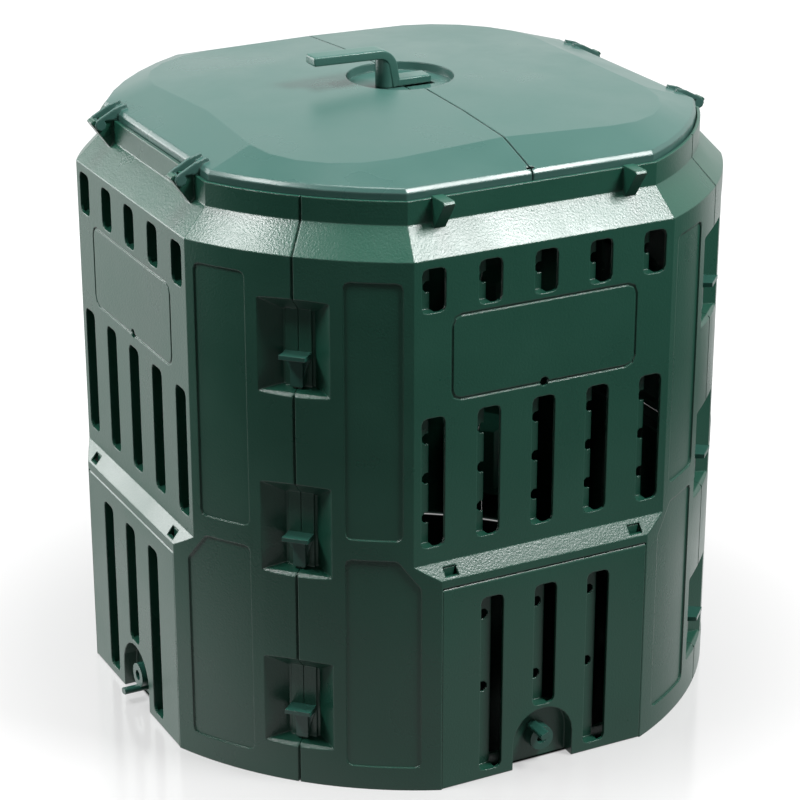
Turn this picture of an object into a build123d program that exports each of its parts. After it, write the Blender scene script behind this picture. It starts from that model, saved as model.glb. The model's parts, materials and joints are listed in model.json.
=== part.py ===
from build123d import *
import os
from math import atan2, cos, degrees, pi, radians, sin, sqrt, tan

# Square compost bin with rounded corners: four clipped wall panels, a hooked
# door in each, and a two-leaf roof with a turning handle.
# Millimetres, +Z up, origin at the centre of the footprint, front faces -Y.
# Every wall is drawn as the front wall and turned about Z to its side.

# Small rounded corners and holes are cut with straight facets
round_cuts = 2           # facets on each rounded corner
hole_sides = 8
wheel_sides = 24
roof_cuts = 5            # facets on each rounded corner of the roof

# Body
door_face = 370.0        # axis to the outer face of a door
door_step = 14.0         # the wall above a door stands back by this much
corner_radius = 450.0    # radius of the rounded corners in plan
corner_reach = 390.0     # axis to the middle of a rounded corner
wall = 4.0               # moulded wall thickness
seam_gap = 0.6           # gap between two neighbouring walls
seam_groove = 3.0        # width of the groove that shows along a seam
bevel_low = 655.5        # lower edge of the shoulder under the roof
bevel_rise = 32.0
bevel_inset = 30.0
neck_top = 715.0
seat_top = 704.0         # shelf inside the neck that carries the roof
seat_reach = 14.0        # how far that shelf reaches in from the neck wall
seat_thick = 4.0

# Ledge above a door
ledge_low = 272.0
ledge_rise = 18.0
lip_bottom = 262.0
window_x = 123.0         # hook windows, centre from the middle of the wall
window_width = 17.0
window_low = 274.5
window_high = 284.5

# Ventilation slots in a wall
slot_pitch = 71.0
slot_count = 5
slot_width = 30.0
slot_round = 7.0
long_low = 310.5
long_high = 469.5
short_low = 593.5
short_high = 645.5
strip_depth = 15.0       # outer face to the strip behind a slot
strip_thick = 2.5
strip_cover = 16.7       # width of slot the strip hides
strip_hole = 14.0        # diameter of the holes that bite the strip
hole_pitch = 48.5
plate_hole_z = 487.0
plate_hole = 12.0

# Groove that frames the bare plate between the slots
plate_half = 120.5
plate_low = 484.5
plate_high = 587.5
plate_round = 13.0
plate_groove = 3.2
plate_groove_depth = 1.4

# Clip pockets on a corner seam
pocket_heights = (106.0, 328.0, 550.0)
pocket_half = 45.0
pocket_height = 112.0
pocket_depth = 22.0
pocket_side_slope = 26.0
pocket_top_slope = 20.0
pocket_low_slope = 3.0
pocket_round = 10.0
pocket_lip = 4.0         # chamfer along the lower edge of the mouth
band_width = 15.5        # raised flange beside the seam
band_depth = 19.0        # outer face down to that flange
rib_thick = 4.4          # rib on a flange that a clip holds
rib_rise = 5.0
rib_top = -17.5          # from the pocket centre

# Clips
clip_gap = 0.25          # clearance between clip and ribs
clip_half = 7.4
clip_front = 3.2         # thickness of the front web
clip_low = -51.5         # lower end, from the pocket centre
bar_half = 15.5
bar_height = 7.5
bar_reach = 4.5          # bar sticks out past the corner
wing_thick = 3.5

# Shallow panels beside a seam, measured along the corner arc from the seam
panel_depth = 2.0
panel_start = 58.0
upper_panel_end = 124.0
upper_panel_low = 322.0
upper_panel_high = 631.0
lower_panel_end = 145.0
lower_panel_low = 30.0
lower_panel_high = 297.0
panel_cut_width = 27.0   # cut-off top corner of the lower panel
panel_cut_height = 35.0
panel_round = 7.0

# Door
opening_half = 136.0
door_gap = 0.3           # door to jamb
door_low = 1.0
door_top = 261.0
door_slot_low = 11.0
door_slot_high = 239.0
door_mid_low = 80.0
door_strip_cover = 21.7
door_hole_z = (115.0, 210.0)
flange_depth = 18.0      # outer face to the inner edge of the door's flanges
flange_thick = 3.0
jamb_depth = 28.0
rail_height = 16.0
rail_thick = 4.0
arch_half = 40.5
arch_top = 75.0
arch_depth = 17.0
arch_wall = 3.5
hook_width = 14.0
hook_thick = 3.0
hook_depth = 10.5        # outer face to the hook's outer side
hook_root = 246.0
hook_top = 283.0

# Door knob
knob_z = 33.0
knob_radius = 15.5
knob_length = 15.0
knob_bore = 14.0
knob_bore_depth = 11.0
knob_tab_width = 12.4
knob_tab_thick = 7.3
knob_tab_round = 2.5
knob_tab_inner = 12.7    # axis to the inner face of the tab
knob_tab_reach = 36.0    # recess floor to the end of the tab
knob_seat = 0.3          # hub to recess floor
spindle_radius = 7.0
running_gap = 0.05       # radial play of every running fit
latch_reach = 28.0
latch_width = 16.0
latch_thick = 4.0
latch_gap = 2.0          # latch to the back of the bottom rail
knob_turns = {"front": 115.0, "left": -80.0, "back": 115.0, "right": -80.0}

# Roof ears on the neck
ear_x = 122.0
ear_width = 14.0
ear_reach = 28.0         # out from the neck at the top
ear_top = 717.0
ear_low = 682.0
ear_nose = 3.0
pivot_out = 17.0         # hinge axis, out from the neck
pivot_z = 711.5
pivot_radius = 3.5

# Roof leaves
roof_half = 320.6
roof_thick = 4.0
roof_seat_gap = 0.3
roof_rim_top = 722.5
roof_round_inset = 3.5
roof_round_rise = 4.5
roof_crown_flat = 261.0  # where the slopes meet the dome: at the ends of the flats,
roof_crown_middle = 254.0  # at the middle of the flats,
roof_crown_edge = 139.0  # half the width of a flat there,
roof_crown_reach = 318.0  # and on the diagonals
dome_top = 758.0
dome_radius = 3030.0
dome_rings = (160.0, 40.0)  # rings between the facets of the dome
roof_gap = 2.0           # gap between the two leaves
roof_rib_thick = 4.0
roof_rib_drop = 14.0
dish_radius = 65.0
dish_floor = 746.0
fin_thick = 4.0
fin_gap = 0.4            # fin to ear
fin_eye = 7.0
fin_proud = 4.0          # fin above the roof slope
fin_root = 24.0          # length of fin on the slope
neck_clear = 1.6         # fin over the neck

# Handle
handle_x = -20.0
handle_width = 25.5
handle_hub = 17.0
handle_under = 783.0
handle_arm_end = -121.0
handle_end_top = 799.0
handle_arm_thick = 11.0
handle_shoulder = 793.0
handle_post_out = 3.0
handle_post_thick = 15.0
handle_shoulder_round = 22.0
foot_end = 38.0
foot_top = 756.5
foot_round = 8.0         # rounded corners of the foot's end
foot_clear = 0.8         # hub and foot over the dish floor
foot_slot_gap = 1.8
spindle_handle = 8.0
washer_radius = 14.0
washer_thick = 4.0
washer_gap = 0.3

# Derived sizes
face = door_face - door_step
neck = face - bevel_inset
bevel_high = bevel_low + bevel_rise
ledge_high = ledge_low + ledge_rise
corner_shift = (corner_radius - corner_reach) / sqrt(2)
seam_shift = seam_gap / sqrt(2)
bevel_lean = atan2(bevel_inset, bevel_rise)
ledge_lean = atan2(door_step, ledge_rise)
door_half = opening_half - door_gap
arch_centre = arch_top - arch_half
arch_floor = -door_face + arch_depth
rail_front = -door_face + jamb_depth - rail_thick
rail_back = -door_face + jamb_depth
latch_front = rail_back + latch_gap
pivot_y = -neck - pivot_out
roof_low = seat_top + roof_seat_gap
sides = {"front": 0.0, "left": -90.0, "back": 180.0, "right": 90.0}


def arc_point(radius, angle):
    """Point on the front-left corner arc, angle in degrees from -Y towards -X."""
    lean = radians(angle)
    return corner_shift - radius * sin(lean), corner_shift - radius * cos(lean)


def edge_angle(radius, flat):
    """Angle where the front-left corner arc meets the flat at y = -flat."""
    drop = flat + corner_shift
    return degrees(atan2(sqrt(radius**2 - drop**2), drop))


def seam_angle(radius):
    """Angle where the corner arc meets the joint face beside the seam."""
    half = (sqrt(2 * radius**2 - seam_shift**2) - seam_shift) / 2
    return degrees(atan2(half, half + seam_shift))


def box_corners(left, low, right, high):
    """Corners of an upright rectangle, anticlockwise."""
    return [(left, low), (right, low), (right, high), (left, high)]


def soft_points(corners, radius, cuts=round_cuts):
    """Anticlockwise corners with each one rounded by straight cuts."""
    points = []
    for i, (x, y) in enumerate(corners):
        before = corners[i - 1]
        after = corners[(i + 1) % len(corners)]
        heading = atan2(y - before[1], x - before[0])
        turn = (atan2(after[1] - y, after[0] - x) - heading) % (2 * pi)
        back = radius * tan(turn / 2)
        centre_x = x - back * cos(heading) - radius * sin(heading)
        centre_y = y - back * sin(heading) + radius * cos(heading)
        for step in range(cuts + 1):
            angle = heading - pi / 2 + turn * step / cuts
            points.append((centre_x + radius * cos(angle), centre_y + radius * sin(angle)))
    return points


def swung(points, angle, up):
    """Points turned about the origin by an angle in degrees, then raised."""
    c = cos(radians(angle))
    s = sin(radians(angle))
    return [(x * c - y * s, x * s + y * c + up) for x, y in points]


def quarter_outline(flat, radius):
    """Plan of the front quarter of the bin: a flat between two half corners."""
    seam = seam_angle(radius)
    edge = edge_angle(radius, flat)
    p_seam = arc_point(radius, seam)
    p_mid = arc_point(radius, (seam + edge) / 2)
    p_edge = arc_point(radius, edge)
    with BuildSketch() as plan:
        with BuildLine():
            Line((0, -seam_shift), p_seam)
            ThreePointArc(p_seam, p_mid, p_edge)
            Line(p_edge, (-p_edge[0], p_edge[1]))
            ThreePointArc((-p_edge[0], p_edge[1]), (-p_mid[0], p_mid[1]), (-p_seam[0], p_seam[1]))
            Line((-p_seam[0], p_seam[1]), (0, -seam_shift))
        make_face()
    return plan.sketch


def quarter_form(inset, below, above):
    """Solid quarter whose faces lie the given inset inside the outer faces."""
    low = bevel_low - inset * tan(bevel_lean / 2)
    high = bevel_high - inset * tan(bevel_lean / 2)
    step_low = ledge_low - inset * tan(ledge_lean / 2)
    step_high = ledge_high - inset * tan(ledge_lean / 2)
    with BuildPart() as form:
        with BuildSketch(Plane.XY.offset(-below)):
            add(quarter_outline(door_face - inset, corner_radius - inset))
        extrude(amount=low + below)
        with BuildSketch(Plane.YZ):
            with BuildLine():
                Polyline(
                    (-door_face - door_step, step_low),
                    (-door_face + inset, step_low),
                    (-face + inset, step_high),
                    (-face + inset, bevel_high),
                    (-door_face - door_step, bevel_high),
                    close=True,
                )
            make_face()
        extrude(amount=door_face, both=True, mode=Mode.SUBTRACT)
        with BuildSketch(Plane.XY.offset(low)):
            add(quarter_outline(face - inset, corner_radius - inset))
        with BuildSketch(Plane.XY.offset(high)):
            add(quarter_outline(neck - inset, corner_radius - bevel_inset - inset))
        loft(ruled=True)
        with BuildSketch(Plane.XY.offset(high)):
            add(quarter_outline(neck - inset, corner_radius - bevel_inset - inset))
        extrude(amount=neck_top + above - high)
    return form.part


def seam_plane(side, height, out):
    """Plane facing out of the left (-1) or right (1) seam of the front wall."""
    reach = (corner_reach + out) / sqrt(2)
    return Plane(origin=(side * reach, -reach, height), x_dir=(1, side, 0), z_dir=(side, -1, 0))


def seam_plan(side):
    """Level plane at a seam, x across the seam and y inwards."""
    reach = corner_reach / sqrt(2)
    return Plane(origin=(side * reach, -reach, 0), x_dir=(1, side, 0), z_dir=(0, 0, 1))


def seam_section(side):
    """Upright plane along a seam, x outwards and y up."""
    reach = corner_reach / sqrt(2)
    return Plane(origin=(side * reach, -reach, 0), x_dir=(side, -1, 0), z_dir=(-1, -side, 0))


def wall_plane(out):
    """Plane of the front wall seen from outside, x to the right and y up."""
    return Plane(origin=(0, -out, 0), x_dir=(1, 0, 0), z_dir=(0, -1, 0))


def corner_panel(start, end, low, high, cut):
    """Sunken panel beside the left seam, following the curve of the corner."""
    middle = (start + end) / 2
    angle = 45 - degrees(middle / corner_radius)
    at = arc_point(corner_radius, angle)
    lean = radians(angle)
    outward = Plane(origin=(*at, 0), x_dir=(cos(lean), -sin(lean), 0), z_dir=(-sin(lean), -cos(lean), 0))
    half = (end - start) / 2
    corners = [(-half, low), (half, low), (half, high), (-half, high)]
    if cut:
        corners[2:3] = [(half, high - panel_cut_height), (half - panel_cut_width, high)]
    with BuildPart() as panel:
        with BuildSketch(outward.offset(wall)):
            with BuildLine():
                Polyline(*soft_points(corners, panel_round), close=True)
            make_face()
        extrude(amount=-5 * wall)
        add(skin_form, mode=Mode.SUBTRACT)
    return panel.part


def seam_cut(side):
    """Shallow groove down the left (-1) or right (1) seam, through every level."""
    with BuildPart() as groove:
        with BuildSketch(seam_plane(side, neck_top / 2, wall)):
            Rectangle(seam_groove, neck_top + 2 * wall)
        extrude(amount=-(bevel_inset + 3 * wall))
        add(skin_form, mode=Mode.SUBTRACT)
    return groove.part


def pocket(side):
    """Tray, cavity and flanges of one clip pocket, drawn around z = 0."""
    low = -pocket_height / 2 + pocket_low_slope
    high = pocket_height / 2 - pocket_top_slope
    inner_half = pocket_half - pocket_side_slope
    grow = wall / pocket_depth
    mouth_half = pocket_half + grow * pocket_side_slope
    lip_low = -pocket_height / 2 - pocket_lip
    mouth_high = pocket_height / 2 + grow * pocket_top_slope
    with BuildPart() as tray:
        with BuildSketch(seam_plan(side)):
            with BuildLine():
                Polyline(
                    (-pocket_half - wall, wall - 0.5), (pocket_half + wall, wall - 0.5),
                    (inner_half + wall, pocket_depth + wall), (-inner_half - wall, pocket_depth + wall),
                    close=True,
                )
            make_face()
        extrude(amount=pocket_height, both=True)
        with BuildSketch(seam_section(side)):
            with BuildLine():
                Polyline(
                    (-wall + 0.5, -pocket_height / 2 - wall), (-wall + 0.5, pocket_height / 2 + wall),
                    (-pocket_depth - wall, high + wall), (-pocket_depth - wall, low - wall),
                    close=True,
                )
            make_face()
        extrude(amount=2 * pocket_half, both=True, mode=Mode.INTERSECT)
    with BuildPart() as cavity:
        with BuildSketch(seam_plan(side)):
            with BuildLine():
                Polyline(
                    (-mouth_half, -wall), (mouth_half, -wall),
                    (inner_half, pocket_depth), (-inner_half, pocket_depth), close=True,
                )
            make_face()
        extrude(amount=pocket_height, both=True)
        with BuildSketch(seam_section(side)):
            with BuildLine():
                Polyline(
                    (wall, lip_low - wall), (wall, mouth_high), (-pocket_depth, high), (-pocket_depth, low),
                    (-pocket_lip, -pocket_height / 2), close=True,
                )
            make_face()
        extrude(amount=2 * pocket_half, both=True, mode=Mode.INTERSECT)
        mouth = box_corners(-pocket_half, lip_low, pocket_half, pocket_height / 2)
        with BuildSketch(seam_plane(side, 0, 2 * wall)):
            with BuildLine():
                Polyline(*soft_points(mouth, pocket_round), close=True)
            make_face()
        extrude(amount=-2 * pocket_depth, mode=Mode.INTERSECT)
        # Flanges beside the seam, and the ribs on their lower half, stay solid
        with BuildSketch(seam_plane(side, 0, -pocket_depth - wall)):
            with Locations((0, (low + high) / 2)):
                Rectangle(2 * band_width, pocket_height)
        extrude(amount=pocket_depth + wall - band_depth, mode=Mode.SUBTRACT)
        with BuildSketch(seam_plane(side, 0, -band_depth - wall)):
            with Locations((0, (low + rib_top) / 2 - pocket_height / 4)):
                Rectangle(2 * rib_thick + seam_gap, rib_top - low + pocket_height / 2)
        extrude(amount=rib_rise + wall, mode=Mode.SUBTRACT)
    return tray.part, cavity.part


def ear_profile():
    """Side view of an ear in the YZ plane, from the neck to its nose."""
    root = -neck + wall / 2
    tip = -neck - ear_reach
    low_y = -neck - (bevel_high - ear_low) * bevel_inset / bevel_rise
    return [
        (root, ear_low + wall),
        (root, ear_top),
        (tip + ear_nose, ear_top),
        (tip, ear_top - ear_nose),
        (low_y, ear_low),
    ]


def slot_rows():
    """Lower and upper end of every slot in a wall, with its hole heights."""
    tall = (long_low + long_high) / 2
    squat = (short_low + short_high) / 2
    return (
        (long_low, long_high, (tall - hole_pitch, tall, tall + hole_pitch)),
        (short_low, short_high, (squat,)),
    )


def slot_centres():
    """Middle of every slot column across a wall."""
    return [(i - (slot_count - 1) / 2) * slot_pitch for i in range(slot_count)]


outer_form = quarter_form(0, 0, 0)
inner_form = quarter_form(wall, wall, wall)
skin_form = quarter_form(panel_depth, wall, wall)
upper_panel = corner_panel(panel_start, upper_panel_end, upper_panel_low, upper_panel_high, False)
lower_panel = corner_panel(panel_start, lower_panel_end, lower_panel_low, lower_panel_high, True)
trays = []
sunken = [upper_panel, lower_panel, upper_panel.mirror(Plane.YZ), lower_panel.mirror(Plane.YZ)]
for side in (-1, 1):
    sunken.append(seam_cut(side))
    tray, cavity = pocket(side)
    for height in pocket_heights:
        trays.append(Pos(0, 0, height) * tray)
        sunken.append(Pos(0, 0, height) * cavity)
slots = [(centre, *row) for centre in slot_centres() for row in slot_rows()]

with BuildPart() as wall_front:
    add(outer_form)
    add(inner_form, mode=Mode.SUBTRACT)
    # Shelf inside the neck
    with BuildSketch(Plane.XY.offset(seat_top - seat_thick)):
        inset = bevel_inset + wall / 2
        add(quarter_outline(face - inset, corner_radius - inset))
        inset = bevel_inset + wall + seat_reach
        add(quarter_outline(face - inset, corner_radius - inset), mode=Mode.SUBTRACT)
    extrude(amount=seat_thick)
    # Clip pockets, sunken panels and seam grooves
    add(trays, clean=False)
    add(sunken, mode=Mode.SUBTRACT, clean=False)
    # Ventilation slots, each with a strip standing behind its left half
    with BuildSketch(wall_plane(face - wall / 2)):
        for centre, low, high, holes in slots:
            with Locations((centre - (slot_width + strip_thick - strip_cover) / 2, (low + high) / 2)):
                Rectangle(strip_cover + strip_thick, high - low + 2 * strip_thick)
    extrude(amount=-(strip_depth + strip_thick - wall / 2), clean=False)
    with BuildSketch(wall_plane(face + wall)):
        for centre, low, high, holes in slots:
            outline = box_corners(centre - slot_width / 2, low, centre + slot_width / 2, high)
            with BuildLine():
                Polyline(*soft_points(outline, slot_round), close=True)
            make_face()
    extrude(amount=-2 * wall, mode=Mode.SUBTRACT, clean=False)
    with BuildSketch(wall_plane(face - wall)):
        for centre, low, high, holes in slots:
            with Locations((centre - slot_width / 2 + strip_cover, (low + high) / 2)):
                Rectangle(2 * strip_cover, high - low)
    extrude(amount=-(strip_depth - wall), mode=Mode.SUBTRACT, clean=False)
    with BuildSketch(wall_plane(face - strip_depth + 1)):
        for centre, low, high, holes in slots:
            with Locations(*[(centre, z) for z in holes]):
                RegularPolygon(strip_hole / 2, hole_sides, rotation=180 / hole_sides)
    extrude(amount=-2 * strip_thick, mode=Mode.SUBTRACT, clean=False)
    with BuildSketch(wall_plane(face + wall)):
        with Locations((0, plate_hole_z)):
            RegularPolygon(plate_hole / 2, hole_sides)
    extrude(amount=-3 * wall, mode=Mode.SUBTRACT)
    with BuildSketch(wall_plane(face + wall)):
        outline = box_corners(-plate_half, plate_low, plate_half, plate_high)
        with BuildLine():
            Polyline(*soft_points(outline, plate_round), close=True)
        make_face()
        field_half = plate_half - plate_groove
        outline = box_corners(-field_half, plate_low + plate_groove, field_half, plate_high - plate_groove)
        with BuildLine():
            Polyline(*soft_points(outline, plate_round - plate_groove), close=True)
        make_face(mode=Mode.SUBTRACT)
    extrude(amount=-(wall + plate_groove_depth), mode=Mode.SUBTRACT)
    # Door opening with its jambs and bottom rail, and the hook windows
    with BuildSketch(wall_plane(door_face + wall)):
        with Locations((0, (lip_bottom - wall) / 2)):
            Rectangle(2 * opening_half, lip_bottom + wall)
        with Locations((-window_x, (window_low + window_high) / 2), (window_x, (window_low + window_high) / 2)):
            Rectangle(window_width, window_high - window_low)
    extrude(amount=-jamb_depth, mode=Mode.SUBTRACT)
    with BuildSketch(wall_plane(door_face - wall / 2)):
        for side in (-1, 1):
            with Locations((side * (opening_half + wall / 2), lip_bottom / 2)):
                Rectangle(wall, lip_bottom)
    extrude(amount=-(jamb_depth - wall / 2))
    with BuildSketch(wall_plane(-rail_front)):
        with Locations((0, rail_height / 2)):
            Rectangle(2 * (opening_half + wall / 2), rail_height)
    extrude(amount=-rail_thick)
    # Ears on the neck
    for side in (-1, 1):
        with BuildSketch(Plane.YZ.offset(side * ear_x - ear_width / 2)):
            with BuildLine():
                Polyline(*ear_profile(), close=True)
            make_face()
        extrude(amount=ear_width)
    # Joint faces, and the groove that shows along each seam
    for side in (-1, 1):
        joint = Plane(origin=(0, -seam_shift, 0), x_dir=(0, 0, 1), z_dir=(side, 1, 0))
        split(bisect_by=joint, keep=Keep.BOTTOM)


def turned(part, side):
    """The part turned about Z from the front to the named side."""
    return part.rotate(Axis.Z, sides[side])


with BuildPart() as wall_back:
    add(turned(wall_front.part, "back"))

# The side walls carry the roof, so their ears are notched for its pivots.
with BuildPart() as wall_left:
    add(wall_front.part)
    for side in (-1, 1):
        with BuildSketch(Plane.YZ.offset(side * ear_x - ear_width)):
            with Locations((pivot_y, pivot_z)):
                Circle(pivot_radius + running_gap)
            with Locations((pivot_y, (pivot_z + ear_top + wall) / 2)):
                Rectangle(2 * (pivot_radius + running_gap), ear_top + wall - pivot_z)
        extrude(amount=2 * ear_width, mode=Mode.SUBTRACT)
hinge_wall = wall_left.part
wall_left.part = turned(hinge_wall, "left")
with BuildPart() as wall_right:
    add(turned(hinge_wall, "right"))

with BuildPart() as clip_blank:
    # Channel over the two ribs, drawn around the seam at z = 0
    inside = rib_thick + seam_gap / 2 + clip_gap
    back = -band_depth + clip_gap
    cap = -band_depth + rib_rise + clip_gap
    with BuildSketch(seam_plane(-1, 0, back)):
        with Locations((0, (clip_low + rib_top) / 2)):
            Rectangle(2 * clip_half, rib_top - clip_low)
    extrude(amount=cap + clip_front - back)
    # Wings that brace the bar
    with BuildSketch(seam_plane(-1, 0, back)):
        with BuildLine():
            Polyline(
                (-bar_half, rib_top), (bar_half, rib_top), (clip_half, clip_low / 2 + rib_top / 2 - 5),
                (-clip_half, clip_low / 2 + rib_top / 2 - 5), close=True,
            )
        make_face()
    extrude(amount=wing_thick)
    with BuildSketch(seam_plane(-1, 0, back)):
        with Locations((0, (clip_low - wall + rib_top) / 2)):
            Rectangle(2 * inside, rib_top - clip_low + wall)
    extrude(amount=cap - back, mode=Mode.SUBTRACT)
    # Finger bar, leaning up as it comes out of the pocket
    across = Plane(origin=seam_plane(-1, 0, 0).origin, x_dir=(-1, -1, 0), z_dir=(-1, 1, 0))
    with BuildSketch(across):
        with BuildLine():
            Polyline(
                (back, rib_top),
                (cap + clip_front, rib_top),
                (bar_reach, rib_top + bar_height / 3),
                (bar_reach, rib_top + bar_height),
                (cap + clip_front, rib_top + bar_height * 0.8),
                (back, rib_top + bar_height * 0.8),
                close=True,
            )
        make_face()
    extrude(amount=bar_half, both=True)

with BuildPart() as door_front:
    with BuildSketch(Plane.YZ.offset(-door_half)):
        with BuildLine():
            Polyline(
                (-door_face + wall, door_top), (-door_face + wall, door_low),
                (-door_face, door_low), (-door_face, door_top - wall),
            )
            RadiusArc((-door_face, door_top - wall), (-door_face + wall, door_top), wall)
        make_face()
    extrude(amount=2 * door_half)
    # Flanges down both sides and across below the hooks
    with BuildSketch(wall_plane(door_face - wall / 2)):
        for side in (-1, 1):
            with Locations((side * (door_half - flange_thick / 2), (door_low + hook_root) / 2)):
                Rectangle(flange_thick, hook_root - door_low)
        with Locations((0, hook_root - flange_thick / 2)):
            Rectangle(2 * door_half, flange_thick)
    extrude(amount=-(flange_depth - wall / 2))
    # Tray behind the arched knob recess
    with BuildSketch(wall_plane(door_face - wall / 2)):
        with Locations((0, arch_centre)):
            RegularPolygon(arch_half + arch_wall, wheel_sides)
        with Locations((0, (arch_centre + door_low) / 2)):
            Rectangle(2 * (arch_half + arch_wall), arch_centre - door_low)
        with Locations((0, door_low - arch_half)):
            Rectangle(4 * arch_half, 2 * arch_half, mode=Mode.SUBTRACT)
    extrude(amount=-(arch_depth + arch_wall - wall / 2))
    # Slots and the strips behind them
    for centre, low in ((-slot_pitch, door_slot_low), (0, door_mid_low), (slot_pitch, door_slot_low)):
        left = centre - slot_width / 2
        right = left + door_strip_cover
        tall = door_slot_high - low
        at_z = (door_slot_high + low) / 2
        with BuildSketch(wall_plane(door_face - wall / 2)):
            with Locations(((left - strip_thick + right) / 2, at_z)):
                Rectangle(right - left + strip_thick, tall + 2 * strip_thick)
        extrude(amount=-(strip_depth + strip_thick - wall / 2))
        with BuildSketch(wall_plane(door_face + wall)):
            outline = box_corners(left, low, left + slot_width, door_slot_high)
            with BuildLine():
                Polyline(*soft_points(outline, slot_round), close=True)
            make_face()
        extrude(amount=-2 * wall, mode=Mode.SUBTRACT)
        with BuildSketch(wall_plane(door_face - wall)):
            with Locations((left + door_strip_cover, at_z)):
                Rectangle(2 * door_strip_cover, tall)
        extrude(amount=-(strip_depth - wall), mode=Mode.SUBTRACT)
        with BuildSketch(wall_plane(door_face - strip_depth + 1)):
            with Locations(*[(left + door_strip_cover / 2, z) for z in door_hole_z]):
                RegularPolygon(strip_hole / 2, hole_sides, rotation=180 / hole_sides)
        extrude(amount=-2 * strip_thick, mode=Mode.SUBTRACT)
    # Recess and spindle hole
    with BuildSketch(wall_plane(door_face + wall)):
        with Locations((0, arch_centre)):
            RegularPolygon(arch_half, wheel_sides)
        with Locations((0, arch_centre / 2 - wall)):
            Rectangle(2 * arch_half, arch_centre + 2 * wall)
    extrude(amount=-(arch_depth + wall), mode=Mode.SUBTRACT)
    with BuildSketch(wall_plane(-arch_floor + wall)):
        with Locations((0, knob_z)):
            Circle(spindle_radius + running_gap)
    extrude(amount=-(arch_wall + 2 * wall), mode=Mode.SUBTRACT)
    # Hooks that reach up behind the lip into the windows
    for side in (-1, 1):
        with BuildSketch(Plane.YZ.offset(side * window_x - hook_width / 2)):
            with BuildLine():
                Polyline(
                    (-door_face + wall / 2, hook_root - flange_thick),
                    (-door_face + hook_depth + hook_thick, hook_root - flange_thick),
                    (-door_face + hook_depth + hook_thick, hook_top),
                    (-door_face + hook_depth, hook_top),
                    (-door_face + hook_depth, hook_root),
                    (-door_face + wall / 2, hook_root),
                    close=True,
                )
            make_face()
        extrude(amount=hook_width)
plain_door = door_front.part


def knob(turn):
    """One-piece knob: hub with a finger tab, spindle, and a latch behind the door."""
    tab = box_corners(knob_tab_inner, -knob_tab_width / 2, knob_tab_inner + knob_tab_thick, knob_tab_width / 2)
    latch = box_corners(-latch_width / 2, -latch_width / 2, latch_reach, latch_width / 2)
    with BuildPart() as piece:
        with BuildSketch(wall_plane(-arch_floor + knob_seat)):
            with Locations((0, knob_z)):
                RegularPolygon(knob_radius, wheel_sides)
        extrude(amount=knob_length)
        with BuildSketch(wall_plane(-arch_floor + knob_seat)):
            with BuildLine():
                Polyline(*swung(soft_points(tab, knob_tab_round), turn, knob_z), close=True)
            make_face()
        extrude(amount=knob_tab_reach - knob_seat)
        with BuildSketch(wall_plane(-arch_floor + knob_seat + knob_length)):
            with Locations((0, knob_z)):
                RegularPolygon(knob_bore / 2, hole_sides)
        extrude(amount=-knob_bore_depth, mode=Mode.SUBTRACT)
        with BuildSketch(wall_plane(-arch_floor + knob_seat)):
            with Locations((0, knob_z)):
                Circle(spindle_radius)
        extrude(amount=-(knob_seat + latch_front + latch_thick / 2 - arch_floor))
        with BuildSketch(wall_plane(-latch_front)):
            with BuildLine():
                Polyline(*swung(soft_points(latch, latch_width / 3), turn - 90, knob_z), close=True)
            make_face()
        extrude(amount=-latch_thick)
    return piece.part


def leaf_ring(gap, flat, middle, edge, reach):
    """Plan of the left roof leaf at one level, from the front seam round to the back seam.

    Flats lie at the distance flat, or middle at their centre, and end at edge; the
    corners reach out to the diagonal distance reach.
    """
    bend = reach / sqrt(2)
    shift = (edge**2 + flat**2 - 2 * bend**2) / (4 * bend - 2 * edge - 2 * flat)
    radius = sqrt(2) * (bend + shift)
    first = atan2(edge + shift, flat + shift)
    half = [(-gap, -middle)]
    for step in range(roof_cuts + 1):
        lean = first + (pi / 2 - 2 * first) * step / roof_cuts
        half.append((shift - radius * sin(lean), shift - radius * cos(lean)))
    return half + [(-middle, 0.0)] + [(x, -y) for x, y in reversed(half)]


def dome_height(x, y):
    """Height of the shallow dome over a point."""
    return dome_top - (x**2 + y**2) / (2 * dome_radius)


def leaf_form(gap, inset, drop):
    """Solid under the left leaf's surface, set in by the inset, lowered by the drop."""
    radius = corner_radius - face + roof_half - inset
    rim_flat = roof_half - inset
    rim_edge = radius * sin(radians(edge_angle(radius, rim_flat))) - corner_shift
    rim_reach = radius + corner_reach - corner_radius
    flat = rim_flat - roof_round_inset
    reach = rim_reach - roof_round_inset
    rim = leaf_ring(gap, rim_flat, rim_flat, rim_edge, rim_reach)
    shoulder = leaf_ring(gap, flat, flat, rim_edge, reach)
    crown = leaf_ring(gap, roof_crown_flat, roof_crown_middle, roof_crown_edge, roof_crown_reach)
    levels = [
        [(x, y, roof_low - inset) for x, y in rim],
        [(x, y, roof_rim_top - drop) for x, y in rim],
        [(x, y, roof_rim_top + roof_round_rise - drop) for x, y in shoulder],
        [(x, y, dome_height(x, y) - inset) for x, y in crown],
    ]
    for ring in dome_rings:
        level = [(x * ring / sqrt(x**2 + y**2), y * ring / sqrt(x**2 + y**2)) for x, y in crown]
        level[0] = (-gap, level[0][1])
        level[-1] = (-gap, level[-1][1])
        levels.append([(x, y, dome_height(ring, 0) - inset) for x, y in level])
    faces = [Face(Wire.make_polygon(levels[0])), Face(Wire.make_polygon(levels[-1]))]
    for low, high in zip(levels, levels[1:]):
        for i in range(len(low) - 1):
            faces.append(Face(Wire.make_polygon([low[i], low[i + 1], high[i + 1]])))
            faces.append(Face(Wire.make_polygon([low[i], high[i + 1], high[i]])))
    seam = [level[0] for level in levels] + [level[-1] for level in reversed(levels)]
    faces.append(Face(Wire.make_polygon(seam)))
    return Solid(Shell(faces))


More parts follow.
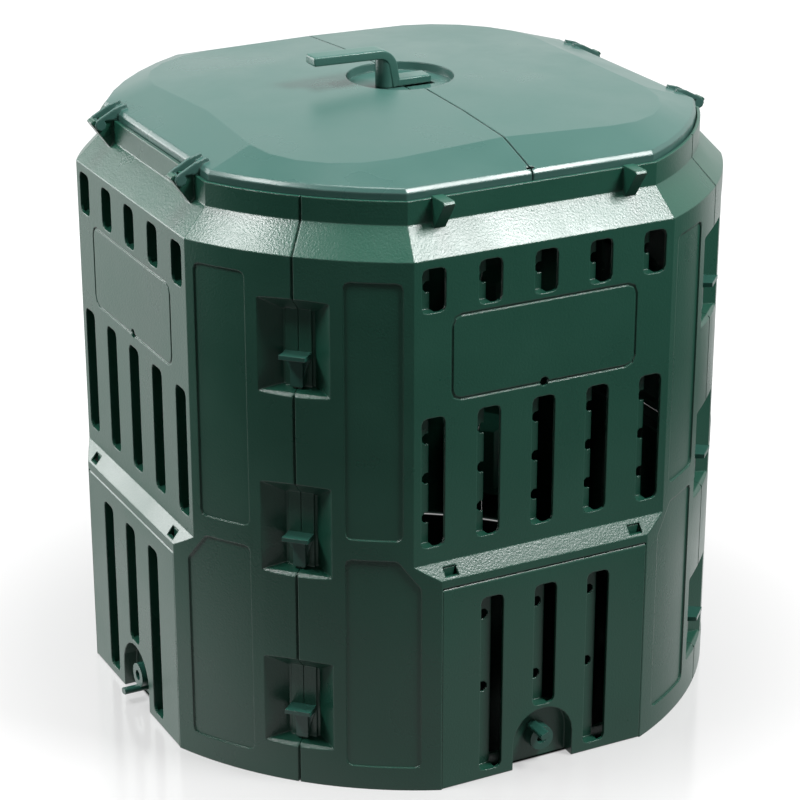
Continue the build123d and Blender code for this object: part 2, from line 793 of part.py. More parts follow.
with BuildPart() as fins:
    # Two pairs of fins and their pivots, drawn on the front side
    slope_y = -(roof_half - roof_round_inset)
    slope_z = roof_rim_top + roof_round_rise
    pitch = (dome_height(0, roof_crown_middle) - slope_z) / (-slope_y - roof_crown_middle)
    for side in (-1, 1):
        for flip in (-1, 1):
            near = side * ear_x + flip * (ear_width / 2 + fin_gap + fin_thick / 2)
            with BuildSketch(Plane.YZ.offset(near - fin_thick / 2)):
                with Locations((pivot_y, pivot_z)):
                    RegularPolygon(fin_eye, hole_sides)
                with BuildLine():
                    Polyline(
                        (-roof_half + roof_thick / 2, neck_top + neck_clear),
                        (pivot_y + 2, neck_top + neck_clear),
                        (pivot_y - fin_eye * 0.5, pivot_z + fin_eye * 0.87),
                        (-roof_half - fin_proud, slope_z + fin_proud * 0.6),
                        (slope_y + fin_root - fin_proud, slope_z + pitch * (fin_root - fin_proud) + fin_proud),
                        (slope_y + fin_root, slope_z + pitch * fin_root - 0.5),
                        (slope_y + 2, slope_z - 2),
                        (-roof_half + roof_thick / 2, roof_rim_top - 2),
                        close=True,
                    )
                make_face()
            extrude(amount=fin_thick)
        with BuildSketch(Plane.YZ.offset(side * ear_x - ear_width / 2 - fin_gap - fin_thick / 2)):
            with Locations((pivot_y, pivot_z)):
                Circle(pivot_radius)
        extrude(amount=ear_width + 2 * fin_gap + fin_thick)

with BuildPart() as leaf:
    # Left leaf without its handle hole; the right leaf mirrors it
    seam_x = roof_gap / 2
    rib_x = seam_x + roof_rib_thick
    rib_low = dish_floor - roof_thick - roof_rib_drop
    add(leaf_form(seam_x, 0, 0))
    add(leaf_form(rib_x, roof_thick, roof_thick * 0.75), mode=Mode.SUBTRACT)
    with BuildSketch(Plane.XY.offset(roof_low - roof_thick)):
        with Locations((-(seam_x + rib_x) / 2, 0)):
            Rectangle(roof_rib_thick, 2 * (roof_half - roof_thick))
    extrude(amount=rib_low - roof_low + roof_thick, mode=Mode.SUBTRACT)
    # Half dish sunk into the middle for the handle
    with BuildSketch(Plane.XY.offset(dish_floor - roof_thick)):
        Circle(dish_radius + roof_thick)
        with Locations((corner_reach - seam_x, 0)):
            Rectangle(2 * corner_reach, 2 * corner_reach, mode=Mode.SUBTRACT)
    extrude(amount=dome_top - dish_floor)
    with BuildSketch(Plane.XY.offset(dish_floor)):
        Circle(dish_radius)
    extrude(amount=corner_reach / 2, mode=Mode.SUBTRACT)

with BuildPart() as lid_left:
    add(leaf.part)
    add(turned(fins.part, "left"))
    with BuildSketch(Plane.XY.offset(dish_floor + roof_thick)):
        with Locations((handle_x, 0)):
            Circle(spindle_handle + running_gap)
    extrude(amount=-3 * roof_thick, mode=Mode.SUBTRACT)

with BuildPart() as lid_right:
    add(leaf.part.mirror(Plane.YZ))
    add(turned(fins.part, "right"))
    # Slot the foot of the handle stands over, so that this leaf lifts past it
    with BuildSketch(Plane.XY.offset(dish_floor + roof_thick)):
        with Locations(((foot_end + foot_slot_gap) / 2, 0)):
            Rectangle(foot_end + foot_slot_gap, handle_width + 2 * foot_slot_gap)
    extrude(amount=-(2 * roof_thick + roof_rib_drop + 1), mode=Mode.SUBTRACT)

with BuildPart() as handle:
    sole = dish_floor + foot_clear
    post_in = handle_post_out - handle_post_thick
    with BuildSketch(Plane.XZ):
        with BuildLine():
            Polyline(
                (handle_post_out - handle_shoulder_round, handle_shoulder),
                (handle_arm_end, handle_end_top),
                (handle_arm_end, handle_end_top - handle_arm_thick),
                (post_in - 8, handle_under),
                (post_in, handle_under - 8),
                (post_in, sole),
                (foot_end, sole),
                (foot_end, foot_top),
                (handle_post_out, foot_top),
                (handle_post_out, handle_shoulder - handle_shoulder_round),
            )
            RadiusArc(
                (handle_post_out, handle_shoulder - handle_shoulder_round),
                (handle_post_out - handle_shoulder_round, handle_shoulder),
                -handle_shoulder_round,
            )
        make_face()
    extrude(amount=handle_width / 2, both=True)
    # Rounded foot end, so that the foot turns inside the dish
    foot_corners = [e for e in edges().filter_by(Axis.Z) if e.center().X > foot_end - 1]
    fillet(foot_corners, foot_round)
    with BuildSketch(Plane.XY.offset(sole)):
        with Locations((handle_x, 0)):
            RegularPolygon(handle_hub, wheel_sides)
    extrude(amount=handle_under + 1 - sole)
    with BuildSketch(Plane.XY.offset(sole)):
        with Locations((handle_x, 0)):
            Circle(spindle_handle)
    extrude(amount=-(foot_clear + roof_thick + washer_gap + washer_thick))

with BuildPart() as handle_washer:
    with BuildSketch(Plane.XY.offset(dish_floor - roof_thick - washer_gap)):
        with Locations((handle_x, 0)):
            RegularPolygon(washer_radius, wheel_sides)
            Circle(spindle_handle, mode=Mode.SUBTRACT)
    extrude(amount=-washer_thick)

# Export, one file for each piece
os.makedirs("parts", exist_ok=True)


def export(part, label):
    """Write one labelled piece to its own file."""
    part.label = label
    export_step(part, f"parts/{label}.step")


export(wall_front.part, "wall_front")
export(wall_left.part, "wall_left")
export(wall_back.part, "wall_back")
export(wall_right.part, "wall_right")
export(lid_left.part, "lid_left")
export(lid_right.part, "lid_right")
export(handle.part, "handle")
export(handle_washer.part, "handle_washer")
for side in sides:
    export(turned(plain_door, side), f"door_{side}")
    export(turned(knob(knob_turns[side]), side), f"knob_{side}")
corner_names = {"front": "front_left", "left": "back_left", "back": "back_right", "right": "front_right"}
level_names = ("low", "middle", "high")
for side, corner in corner_names.items():
    for height, level in zip(pocket_heights, level_names):
        export(turned(Pos(0, 0, height) * clip_blank.part, side), f"clip_{corner}_{level}")
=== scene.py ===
import json
import logging
import math
from dataclasses import dataclass
from enum import Enum

import bpy
import numpy as np
from mathutils import Euler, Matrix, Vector


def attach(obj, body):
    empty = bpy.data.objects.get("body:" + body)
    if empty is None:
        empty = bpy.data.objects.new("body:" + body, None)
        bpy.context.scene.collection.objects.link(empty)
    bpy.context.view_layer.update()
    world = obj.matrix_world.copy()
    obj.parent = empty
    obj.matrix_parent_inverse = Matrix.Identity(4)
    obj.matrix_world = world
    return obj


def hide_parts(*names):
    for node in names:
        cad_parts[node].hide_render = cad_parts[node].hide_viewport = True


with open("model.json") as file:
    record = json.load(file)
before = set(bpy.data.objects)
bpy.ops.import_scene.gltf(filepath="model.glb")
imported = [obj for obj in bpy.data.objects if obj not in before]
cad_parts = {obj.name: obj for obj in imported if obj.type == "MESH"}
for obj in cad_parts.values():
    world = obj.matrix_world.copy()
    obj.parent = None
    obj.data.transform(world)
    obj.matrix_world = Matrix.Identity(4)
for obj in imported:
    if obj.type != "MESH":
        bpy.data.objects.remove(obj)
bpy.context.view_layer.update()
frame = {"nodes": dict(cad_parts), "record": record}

LOG = logging.getLogger("compost_bin")

Pair = tuple[float, float]
Triple = tuple[float, float, float]
Socket = bpy.types.NodeSocket

PLASTIC_IOR = 1.5
CLOUD_SCALE = 9.0  # clouds in a metre
CLOUD_DETAIL = 5.0
CLOUD_SPAN = (0.3, 0.7)  # strengths of the clouds over which the gloss changes
GLOSS_CHANGE = (-0.05, 0.06)  # what is added to the roughness over that span
GRAIN_DETAIL = 2.0
GRAIN_STRENGTH = 0.8
EDGE_SAMPLES = 6
MIX_FACTOR = 0  # sockets of a Mix node when it mixes colours
MIX_COLOURS = (6, 7)
MIX_RESULT = 2
WELD = 2e-6  # points of a solid closer than this, in metres, are one point
WHITE = (1.0, 1.0, 1.0, 1.0)


@dataclass
class Graph:
    """The shader nodes of one material or world.

    Attributes:
        tree: The node tree.
    """

    tree: bpy.types.NodeTree

    def add(self, kind: str, **settings: str | int) -> bpy.types.Node:
        """Add a node.

        Args:
            kind: Type of the node, without the word ShaderNode.
            **settings: Values of its properties.

        Returns:
            The new node.
        """
        node = self.tree.nodes.new("ShaderNode" + kind)
        for name, value in settings.items():
            setattr(node, name, value)
        return node

    def link(self, start: Socket, end: Socket) -> None:
        """Lead an output to an input.

        Args:
            start: The output.
            end: The input.
        """
        self.tree.links.new(start, end)

    def noise(self, where: Socket, scale: float, detail: float) -> Socket:
        """Add a noise texture.

        Args:
            where: Coordinates it is laid out by.
            scale: Its number of waves in a metre.
            detail: Its number of finer layers.

        Returns:
            The strength of the noise.
        """
        node = self.add("TexNoise")
        node.inputs["Scale"].default_value = scale
        node.inputs["Detail"].default_value = detail
        self.link(where, node.inputs["Vector"])
        return node.outputs["Fac"]

    def ramp(self, value: Socket, span: Pair, result: Pair, blend: str = "SMOOTHSTEP") -> Socket:
        """Blend between two results while a value runs over a span.

        Args:
            value: The value.
            span: Its start and end.
            result: The result at the start and at the end.
            blend: Interpolation of the Map Range node.

        Returns:
            The result.
        """
        node = self.add("MapRange", interpolation_type=blend)
        for socket, number in zip(("From Min", "From Max", "To Min", "To Max"), (*span, *result)):
            node.inputs[socket].default_value = number
        self.link(value, node.inputs["Value"])
        return node.outputs["Result"]

    def join(self, operation: str, one: Socket, other: Socket) -> Socket:
        """Work one value out of two.

        Args:
            operation: Operation of the Math node.
            one: The first value.
            other: The second value.

        Returns:
            The result.
        """
        node = self.add("Math", operation=operation)
        self.link(one, node.inputs[0])
        self.link(other, node.inputs[1])
        return node.outputs["Value"]

    def vector(self, operation: str, one: Socket) -> bpy.types.Node:
        """Work on a vector.

        Args:
            operation: Operation of the Vector Math node.
            one: The vector.

        Returns:
            The node, which has its result on Vector or Value.
        """
        node = self.add("VectorMath", operation=operation)
        self.link(one, node.inputs[0])
        return node

    def split(self, vector: Socket) -> bpy.types.Node:
        """Take a vector apart.

        Args:
            vector: The vector.

        Returns:
            The node, which has the parts on X, Y and Z.
        """
        node = self.add("SeparateXYZ")
        self.link(vector, node.inputs["Vector"])
        return node


class Edge(Enum):
    """How far a moulded edge is rounded, in metres."""

    BROAD = 0.0030
    SOFT = 0.0021
    FINE = 0.0010


@dataclass(frozen=True)
class MouldedPlastic:
    """Dark bottle-green plastic with the fine grain of its mould.

    Attributes:
        name: Material name.
        slot: The record's material slot it belongs to.
        colour: Linear base colour.
        pale: Linear colour of the paler clouds in the plastic.
        roughness: Mean roughness of the skin.
        grain: Size of one grain in metres.
        relief: Height of the grain in metres.
        edge: How far the edges are rounded.
        crease: Angle in degrees above which an edge stays an edge.
    """

    name: str
    slot: str
    colour: Triple
    pale: Triple
    roughness: float = 0.30
    grain: float = 0.0025
    relief: float = 0.00030
    edge: Edge = Edge.SOFT
    crease: float = 8.0

    def material(self) -> bpy.types.Material:
        """Make the node material: clouded colour, uneven gloss, rounded edges and a grain bump.

        Returns:
            The new material.
        """
        made = bpy.data.materials.new(self.name)
        made.use_nodes = True
        graph = Graph(made.node_tree)
        shader = made.node_tree.nodes["Principled BSDF"]
        shader.inputs["IOR"].default_value = PLASTIC_IOR
        where = graph.add("TexCoord").outputs["Object"]

        clouds = graph.noise(where, CLOUD_SCALE, CLOUD_DETAIL)
        tint = graph.add("Mix", data_type="RGBA")
        for socket, colour in zip(MIX_COLOURS, (self.colour, self.pale)):
            tint.inputs[socket].default_value = (*colour, 1.0)
        graph.link(clouds, tint.inputs[MIX_FACTOR])
        graph.link(tint.outputs[MIX_RESULT], shader.inputs["Base Color"])

        low, high = (self.roughness + change for change in GLOSS_CHANGE)
        graph.link(graph.ramp(clouds, CLOUD_SPAN, (low, high), "LINEAR"), shader.inputs["Roughness"])

        rounding = graph.add("Bevel", samples=EDGE_SAMPLES)
        rounding.inputs["Radius"].default_value = self.edge.value
        bump = graph.add("Bump")
        bump.inputs["Strength"].default_value = GRAIN_STRENGTH
        bump.inputs["Distance"].default_value = self.relief
        graph.link(graph.noise(where, 1.0 / self.grain, GRAIN_DETAIL), bump.inputs["Height"])
        graph.link(rounding.outputs["Normal"], bump.inputs["Normal"])
        graph.link(bump.outputs["Normal"], shader.inputs["Normal"])
        return made


PANEL = MouldedPlastic("panel_green", "panel_green", (0.011, 0.066, 0.043), (0.014, 0.077, 0.051))
LID = MouldedPlastic("lid_green", "lid_green", (0.036, 0.098, 0.083), (0.042, 0.110, 0.094),
                     relief=0.00003, edge=Edge.BROAD)
TRIM = MouldedPlastic("trim_green", "trim_green", (0.018, 0.082, 0.062), (0.022, 0.094, 0.072),
                      roughness=0.28, relief=0.00010, edge=Edge.FINE, crease=20.0)
# painted light: a paler copy of the trim plastic, for the handle lit on top of the lid
PALE_LIT_TRIM = MouldedPlastic("trim_green_lit_copy", "trim_green", (0.030, 0.100, 0.080), (0.036, 0.112, 0.092),
                      relief=0.00010, edge=Edge.FINE, crease=40.0)


@dataclass
class Moulding:
    """One moulded piece: the skin of its CAD solid, smooth-shaded between its edges.

    Attributes:
        node: CAD node name.
        body: Body the piece rides on.
        finish: Its plastic.
    """

    node: str
    body: str
    finish: MouldedPlastic

    def shaped(self, points: np.ndarray) -> np.ndarray:
        """Give the points of the solid their places on the finished piece.

        Args:
            points: Points of the CAD solid, n by 3.

        Returns:
            The same points, where a kind of piece doesn't say otherwise.
        """
        return points

    def shaded(self, points: list[list[float]], faces: list[list[int]]) -> bpy.types.Mesh:
        """Make a mesh that is smooth between its sharp edges.

        Args:
            points: Its points.
            faces: The numbers of the points round each face.

        Returns:
            The new mesh.
        """
        mesh = bpy.data.meshes.new(f"{self.node}_moulding")
        mesh.from_pydata(points, [], faces)
        mesh.polygons.foreach_set("use_smooth", np.ones(len(mesh.polygons), bool))
        mesh.set_sharp_from_angle(angle=math.radians(self.finish.crease))
        return mesh

    def skin(self) -> bpy.types.Mesh:
        """Weld the triangles of the CAD solid, point for point, into one skin.

        Points are one where p / w rounds to the same whole numbers, with the weld w.

        Returns:
            The new mesh.
        """
        solid = frame["nodes"][self.node].data
        points = np.empty(3 * len(solid.vertices))
        solid.vertices.foreach_get("co", points)
        corners = np.empty(len(solid.loops), int)
        solid.loops.foreach_get("vertex_index", corners)
        points = points.reshape(-1, 3)
        _, first, weld = np.unique(np.round(points / WELD), axis=0, return_index=True, return_inverse=True)
        faces = weld.reshape(-1)[corners].reshape(-1, 3)
        flat = (faces == np.roll(faces, 1, 1)).any(1)
        return self.shaded(self.shaped(points[first]).tolist(), faces[~flat].tolist())

    def build(self, material: bpy.types.Material) -> bpy.types.Object:
        """Make the piece and hang it on its body.

        Args:
            material: The plastic to give it.

        Returns:
            The finished object.
        """
        mesh = self.skin()
        mesh.materials.append(material)
        piece = bpy.data.objects.new(f"{self.node}_moulding", mesh)
        bpy.context.scene.collection.objects.link(piece)
        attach(piece, self.body)
        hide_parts(self.node)
        LOG.info("%s: %d faces", piece.name, len(mesh.polygons))
        return piece


@dataclass
class Leaf(Moulding):
    """A roof leaf, whose hinge fins run out soon after the rim.

    Attributes:
        fin_reach: Distance of the fins' inner ends and of the slope's foot from the seam.
        fin_rows: Least and greatest distance of the fins from the middle of the side.
        fin_share: Share of the fins' length on the slope that stays.
        pitch: Rise of the slope.
    """

    fin_reach: Pair = (0.2920, 0.3171)
    fin_rows: Pair = (0.108, 0.136)
    fin_share: float = 0.35
    pitch: float = 0.296

    def shaped(self, points: np.ndarray) -> np.ndarray:
        """Press the fins together along the slope.

        With the foot f, the share k and the pitch p, each point of a fin moves by
        d = (1 - k) (f - |x|) to x' = x + d sign(x), z' = z - d p.

        Args:
            points: Points of the CAD solid, n by 3.

        Returns:
            The points of the leaf.
        """
        out = np.abs(points[:, 0])
        along = np.abs(points[:, 1])
        fins = (out > self.fin_reach[0]) & (out < self.fin_reach[1])
        fins &= (along > self.fin_rows[0]) & (along < self.fin_rows[1])
        back = (1.0 - self.fin_share) * (self.fin_reach[1] - out[fins])
        moved = points.copy()
        moved[fins, 0] += back * np.sign(points[fins, 0])
        moved[fins, 2] -= back * self.pitch
        LOG.info("%s: %d points of its fins pressed together", self.node, int(fins.sum()))
        return moved


@dataclass
class Handle(Moulding):
    """The lid's handle: a strap bent down over a round hub, with a foot and a spindle.

    Attributes:
        axis: X of the spindle.
        half_width: Half the width of strap and foot.
        strap_thick: Thickness of the strap.
        arm: X and Z of the middle of the strap at its free end.
        bend: X and Z of the centre of its bend.
        bend_radius: Radius of the middle line round the bend.
        bend_points: Number of points round the bend.
        sole: Z of the underside of hub and foot.
        toe: X of the strap's middle at the sole.
        foot: X and Z of the foot's end and top.
        hub_radius: Radius of the hub.
        spindle: Radius and lower end of the spindle.
        overlap: How far the spindle reaches up into the hub.
        nose: How far the ends of strap and foot are drawn in.
        nose_points: Number of points along a nose.
        squareness: Power of the bar's section, where 1 is an ellipse and 0 a box.
        bar_points: Number of points round a bar.
        rim: Rounding of the rims of hub and spindle.
        rim_points: Number of points round a rim.
        round_points: Number of points round hub and spindle.
    """

    axis: float = -0.0200
    half_width: float = 0.01275
    strap_thick: float = 0.0115
    arm: Pair = (-0.1195, 0.7900)
    bend: Pair = (-0.0330, 0.7700)
    bend_radius: float = 0.0185
    bend_points: int = 14
    sole: float = 0.7468
    toe: float = -0.0100
    foot: Pair = (0.0365, 0.7565)
    hub_radius: float = 0.0121
    spindle: Pair = (0.0080, 0.7377)
    overlap: float = 0.0020
    nose: float = 0.0025
    nose_points: int = 6
    squareness: float = 0.25
    bar_points: int = 48
    rim: float = 0.0008
    rim_points: int = 5
    round_points: int = 64

    def bar(self, line: np.ndarray, thick: float) -> np.ndarray:
        """Sweep a rounded bar along a line in the XZ plane.

        The ring at the point p with unit normal n is
        p + (t/2 - d) s(sin a) n + (w - d) s(cos a) y, with s(u) = sign(u) |u|^q for the squareness q.
        At the distance c from an end and within the nose e the bar is drawn in
        by d = e - sqrt(e^2 - (e - c)^2).

        Args:
            line: Points of the middle line, n by 2, in X and Z.
            thick: Thickness t of the bar.

        Returns:
            Rings of points, n by m by 3.
        """
        steps = np.linalg.norm(np.diff(line, axis=0), axis=1)
        along = np.concatenate(([0.0], np.cumsum(steps)))
        tip = self.nose * np.linspace(0, 1, self.nose_points) ** 2
        fine = np.unique(np.concatenate((along, tip, along[-1] - tip)))
        middle = np.stack([np.interp(fine, along, column) for column in line.T], 1)
        slope = np.gradient(middle, fine, axis=0)
        slope /= np.linalg.norm(slope, axis=1, keepdims=True)
        left = np.maximum(self.nose - np.minimum(fine, along[-1] - fine), 0.0)
        drawn = self.nose - np.sqrt(np.maximum(self.nose ** 2 - left ** 2, 0.0))
        turn = np.linspace(0, 2 * math.pi, self.bar_points, endpoint=False) + math.pi / self.bar_points
        up = np.sign(np.sin(turn)) * np.abs(np.sin(turn)) ** self.squareness
        over = np.sign(np.cos(turn)) * np.abs(np.cos(turn)) ** self.squareness
        rise = (thick / 2 - drawn)[:, None] * up
        rings = np.empty((len(fine), len(turn), 3))
        rings[..., 0] = middle[:, :1] - slope[:, 1:] * rise
        rings[..., 1] = (self.half_width - drawn)[:, None] * over
        rings[..., 2] = middle[:, 1:] + slope[:, :1] * rise
        return rings

    def turned(self, radius: float, low: float, high: float) -> np.ndarray:
        """Turn a cylinder with rounded ends about the spindle.

        The rings about the axis m are (m + r cos a, r sin a, z), with z kept under the middle line
        of the strap, which is c + sqrt(R^2 - (x - b)^2) round the bend at (b, c) with its radius R.

        Args:
            radius: Its radius.
            low: Its lower end.
            high: Its upper end.

        Returns:
            Rings of points, n by m by 3.
        """
        swing = np.linspace(0, math.pi / 2, self.rim_points)
        core = radius - self.rim
        radii = np.concatenate((core + self.rim * np.sin(swing), core + self.rim * np.cos(swing)))
        lower = low + self.rim - self.rim * np.cos(swing)
        upper = high - self.rim + self.rim * np.sin(swing)
        heights = np.concatenate((lower, upper))
        turn = np.linspace(0, 2 * math.pi, self.round_points, endpoint=False)
        across = self.axis + np.outer(radii, np.cos(turn))
        past = np.clip(across - self.bend[0], 0.0, self.bend_radius)
        under = self.bend[1] + np.sqrt(self.bend_radius ** 2 - past ** 2)
        return np.stack([across, np.outer(radii, np.sin(turn)), np.minimum(heights[:, None], under)], 2)

    def closed(self, rings: np.ndarray, base: int) -> list[list[int]]:
        """Close rings of points into a shell that faces out.

        Seen from its middle, a shell faces in where the sum of a . (b x c) over its quads is negative.

        Args:
            rings: Rings of points, n by m by 3.
            base: Number of the first point.

        Returns:
            The numbers of the points round each face.
        """
        rows, count = rings.shape[:2]
        cell = np.arange(rows * count).reshape(rows, count)
        beside = np.roll(cell, -1, 1)
        quads = np.stack([cell[:-1], beside[:-1], beside[1:], cell[1:]], 2).reshape(-1, 4)
        flat = rings.reshape(-1, 3)
        a, b, c = (flat[quads[:, corner]] - flat.mean(0) for corner in range(3))
        inward = np.einsum("ij,ij->i", a, np.cross(b, c)).sum() < 0
        faces = (quads + base).tolist()
        faces.append((cell[0][::-1] + base).tolist())
        faces.append((cell[-1] + base).tolist())
        return [face[::-1] for face in faces] if inward else faces

    def skin(self) -> bpy.types.Mesh:
        """Lay the strap, foot, hub and spindle out as four closed shells.

        Round the bend at b with its radius R the strap's middle line is b + R (sin a, cos a).

        Returns:
            The new mesh.
        """
        swing = np.linspace(0, math.pi / 2, self.bend_points)
        curve = np.array(self.bend) + self.bend_radius * np.stack([np.sin(swing), np.cos(swing)], 1)
        strap = np.vstack([self.arm, curve, (self.toe, self.sole)])
        foot_thick = self.foot[1] - self.sole
        level = self.sole + foot_thick / 2
        foot = np.array([(self.toe, level), (self.foot[0], level)])
        shells = (self.bar(strap, self.strap_thick),
                  self.bar(foot, foot_thick),
                  self.turned(self.hub_radius, self.sole, self.bend[1] + self.bend_radius),
                  self.turned(self.spindle[0], self.spindle[1], self.sole + self.overlap))
        points: list[list[float]] = []
        faces: list[list[int]] = []
        for rings in shells:
            faces += self.closed(rings, len(points))
            points += rings.reshape(-1, 3).tolist()
        return self.shaded(points, faces)


def facing(at: Triple, target: Triple) -> Euler:
    """Work out the turn of a lamp or camera that looks at a point.

    Args:
        at: Where it stands.
        target: The point.

    Returns:
        Its turn.
    """
    return (Vector(target) - Vector(at)).to_track_quat("-Z", "Y").to_euler()


@dataclass(frozen=True)
class SoftBox:
    """A lamp box that faces the bin.

    Attributes:
        name: Lamp name.
        at: Where it hangs.
        size: Its width and height.
        watts: Its power.
        target: The point it faces.
    """

    name: str
    at: Triple
    size: Pair
    watts: float
    target: Triple = (0.0, 0.0, 0.4)

    def build(self) -> None:
        """Hang the lamp."""
        data = bpy.data.lights.new(self.name, "AREA")
        data.shape = "RECTANGLE"
        data.size, data.size_y = self.size
        data.energy = self.watts
        lamp = bpy.data.objects.new(self.name, data)
        lamp.location = self.at
        lamp.rotation_euler = facing(self.at, self.target)
        bpy.context.scene.collection.objects.link(lamp)


LAMPS = (SoftBox("key_box", (1.30, -1.70, 2.90), (0.8, 1.0), 122.0),
         SoftBox("corner_box", (-2.04, 0.17, 2.85), (0.9, 0.45), 60.0),
         SoftBox("top_box", (0.00, 0.00, 3.30), (1.2, 1.2), 64.0),
         SoftBox("side_box", (-2.10, 2.40, 1.00), (1.6, 1.6), 67.0))


@dataclass
class Studio:
    """White floor, soft lights and the camera of the photograph.

    Attributes:
        camera_at: Where the camera stands.
        look_at: The point it looks at.
        lens: Its focal length in millimetres.
        sensor: Width of its sensor in millimetres.
        sight: How far it sees.
        room_light: Strength of the even light in the room.
        ceiling: Strength of the ceiling in mirrored rays, where the walls have 1.
        wall_top: Heights of a ray's direction over which the walls turn into the ceiling.
        floor_half: Half the width of the floor.
        floor_sheen: Roughness of the floor as the camera sees it.
        floor_ior: Index of refraction of that sheen.
        floor_shade: Brightness of the floor's colour as the camera sees it.
        floor_matt: Brightness of the floor's colour in the light that it gives back.
        painted_shade_glow: Strength of the floor's own white beside the bin, kept low there as painted
            shade.
        far_glow: Strength of that white away from the bin.
        glow_reach: Distances over which the one turns into the other.
        pool_glow: Strength of the lit pool round the bin in mirrored rays.
        pool_reach: Distances over which the pool runs out.
        pool_front: Places along Y over which the pool grows to its full strength.
        pool_share: Share of its strength in front of them.
        back_glow: Strength of the far side of the floor in mirrored rays.
        back_reach: Places along Y over which the far side grows to its strength.
        corner_centre: How far the centres of the round corners lie past the middle lines.
        shade_corner_edge: Radii over which the painted shade, a black floor inside the bin, ends at a
            corner.
        shade_side_edge: Distances over which that painted shade ends at a side.
    """

    camera_at: Triple = (-1.4221, -2.7517, 1.6037)
    look_at: Triple = (0.0, 0.0, 0.3347)
    lens: float = 119.2
    sensor: float = 36.0
    sight: float = 100.0
    room_light: float = 0.05
    ceiling: float = 0.20
    wall_top: Pair = (0.35, 0.80)
    floor_half: float = 12.0
    floor_sheen: float = 0.14
    floor_ior: float = 1.8
    floor_shade: float = 0.25
    floor_matt: float = 0.08
    painted_shade_glow: float = 0.50
    far_glow: float = 0.74
    glow_reach: Pair = (0.40, 0.85)
    pool_glow: float = 1.00
    pool_reach: Pair = (0.55, 1.30)
    pool_front: Pair = (-0.45, -0.15)
    pool_share: float = 0.45
    back_glow: float = 0.85
    back_reach: Pair = (0.0, 0.6)
    corner_centre: float = 0.042
    shade_corner_edge: Pair = (0.440, 0.446)
    shade_side_edge: Pair = (0.353, 0.357)

    def camera(self) -> None:
        """Set the camera where the photograph was taken."""
        data = bpy.data.cameras.new("photo_camera")
        data.lens = self.lens
        data.sensor_width = self.sensor
        data.clip_end = self.sight
        camera = bpy.data.objects.new("photo_camera", data)
        camera.location = self.camera_at
        camera.rotation_euler = facing(self.camera_at, self.look_at)
        bpy.context.scene.collection.objects.link(camera)
        bpy.context.scene.camera = camera

    def outside(self, graph: Graph, where: Socket) -> Socket:
        """Tell the floor round the bin from the floor inside it, which has the bin's outline and is
        painted black as shade.

        With the corner's centre c the corners are |(|x| + c, |y| + c)| and the sides max(|x|, |y|).

        Args:
            graph: The nodes of the floor.
            where: The place on the floor.

        Returns:
            1 outside the bin and 0 inside it.
        """
        size = graph.vector("ABSOLUTE", where).outputs["Vector"]
        centred = graph.vector("ADD", size)
        centred.inputs[1].default_value = (self.corner_centre, self.corner_centre, 0.0)
        radius = graph.vector("LENGTH", centred.outputs["Vector"]).outputs["Value"]
        corner = graph.ramp(radius, self.shade_corner_edge, (0.0, 1.0))
        reach = graph.split(size).outputs
        side = graph.ramp(graph.join("MAXIMUM", reach["X"], reach["Y"]), self.shade_side_edge, (0.0, 1.0))
        return graph.join("MAXIMUM", corner, side)

    def mirrored(self, graph: Graph, where: Socket, far: Socket) -> Socket:
        """Light the floor for mirrored rays: a pool round the bin and a bright far side.

        Args:
            graph: The nodes of the floor.
            where: The place on the floor.
            far: Its distance from the middle of the bin.

        Returns:
            The strength of the light.
        """
        depth = graph.split(where).outputs["Y"]
        near = graph.ramp(far, self.pool_reach, (self.pool_glow, 0.0))
        pool = graph.join("MULTIPLY", near, graph.ramp(depth, self.pool_front, (self.pool_share, 1.0)))
        back = graph.ramp(depth, self.back_reach, (0.0, self.back_glow))
        return graph.join("MAXIMUM", pool, back)

    def sheet(self) -> bpy.types.Material:
        """Mix the floor sheet.

        It is white with a sheen to the camera, and matt and dim to all other rays, with its
        own light for mirrored ones. Inside the bin it is painted black, as shade.

        Returns:
            The floor's material.
        """
        made = bpy.data.materials.new("white_floor")
        made.use_nodes = True
        graph = Graph(made.node_tree)
        where = graph.add("TexCoord").outputs["Object"]
        path = graph.add("LightPath").outputs
        far = graph.vector("LENGTH", where).outputs["Value"]
        # painted shade: the floor inside the bin's outline is black in every ray
        outside = self.outside(graph, where)

        gloss = made.node_tree.nodes["Principled BSDF"]
        gloss.inputs["Roughness"].default_value = self.floor_sheen
        gloss.inputs["IOR"].default_value = self.floor_ior
        gloss.inputs["Emission Color"].default_value = WHITE
        graph.link(graph.ramp(outside, (0.0, 1.0), (0.0, self.floor_shade)), gloss.inputs["Base Color"])
        # painted shade: the floor's own white is dimmer beside the bin than away from it
        lit = graph.ramp(far, self.glow_reach, (self.painted_shade_glow, self.far_glow))
        graph.link(graph.join("MULTIPLY", outside, lit), gloss.inputs["Emission Strength"])

        matt = graph.add("BsdfDiffuse")
        graph.link(graph.ramp(outside, (0.0, 1.0), (0.0, self.floor_matt)), matt.inputs["Color"])
        glow = graph.add("Emission")
        light = graph.join("MULTIPLY", path["Is Glossy Ray"], self.mirrored(graph, where, far))
        graph.link(graph.join("MULTIPLY", outside, light), glow.inputs["Strength"])

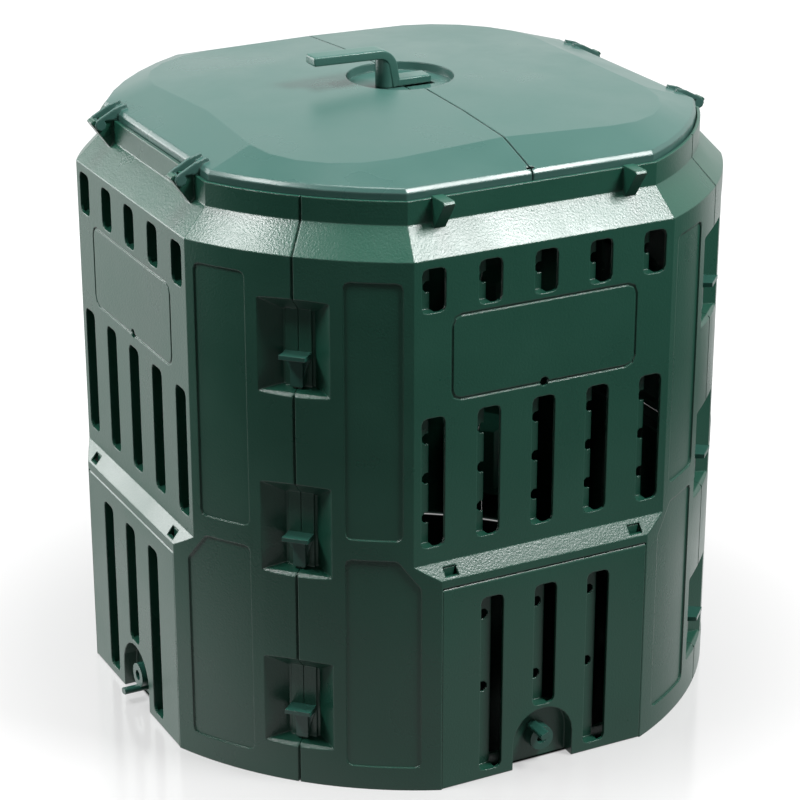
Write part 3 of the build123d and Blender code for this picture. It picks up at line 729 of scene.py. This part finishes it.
        plain = graph.add("AddShader")
        graph.link(matt.outputs["BSDF"], plain.inputs[0])
        graph.link(glow.outputs["Emission"], plain.inputs[1])
        sheet = graph.add("MixShader")
        graph.link(path["Is Camera Ray"], sheet.inputs["Fac"])
        graph.link(plain.outputs["Shader"], sheet.inputs[1])
        graph.link(gloss.outputs["BSDF"], sheet.inputs[2])
        graph.link(sheet.outputs["Shader"], made.node_tree.nodes["Material Output"].inputs["Surface"])
        return made

    def floor(self) -> None:
        """Lay the floor sheet."""
        half = self.floor_half
        corners = [(-half, -half, 0), (half, -half, 0), (half, half, 0), (-half, half, 0)]
        mesh = bpy.data.meshes.new("floor")
        mesh.from_pydata(corners, [], [(0, 1, 2, 3)])
        mesh.materials.append(self.sheet())
        floor = bpy.data.objects.new("floor", mesh)
        bpy.context.scene.collection.objects.link(floor)

    def world(self) -> None:
        """Fill the room with a little even light.

        The camera sees the room white, and mirrored rays see white walls under a dim ceiling.
        """
        world = bpy.data.worlds.new("studio")
        world.use_nodes = True
        graph = Graph(world.node_tree)
        back = world.node_tree.nodes["Background"]
        back.inputs["Color"].default_value = WHITE
        path = graph.add("LightPath").outputs
        height = graph.split(graph.add("TexCoord").outputs["Generated"]).outputs["Z"]
        walls = graph.ramp(height, self.wall_top, (1.0, self.ceiling))
        mirrored = graph.join("MULTIPLY", path["Is Glossy Ray"], walls)
        white = graph.join("MAXIMUM", path["Is Camera Ray"], mirrored)
        level = graph.ramp(white, (0.0, 1.0), (self.room_light, 1.0), "LINEAR")
        graph.link(level, back.inputs["Strength"])
        bpy.context.scene.world = world

    def build(self) -> None:
        """Set up view transform, floor, room, lamps and camera."""
        bpy.context.scene.view_settings.view_transform = "Standard"
        self.floor()
        self.world()
        for lamp in LAMPS:
            lamp.build()
        self.camera()


def main() -> None:
    """Build every piece and the studio."""
    logging.basicConfig(level=logging.INFO, format="%(name)s %(message)s")
    finishes = {finish.slot: finish for finish in (PANEL, LID, TRIM)}
    plastics = {slot: finish.material() for slot, finish in finishes.items()}
    bodies = frame["record"]["behaviour"]["bodies"]
    body_of = {node: body for body, members in bodies.items() for node in members}
    for row in frame["record"]["subparts"]:
        node = row["node"]
        slot = row["material_slot"]
        if node == "handle":
            Handle(node, body_of[node], PALE_LIT_TRIM).build(PALE_LIT_TRIM.material())
        else:
            kind = Leaf if slot == LID.slot else Moulding
            kind(node, body_of[node], finishes[slot]).build(plastics[slot])
    Studio().build()


if __name__ == "__main__":
    main()
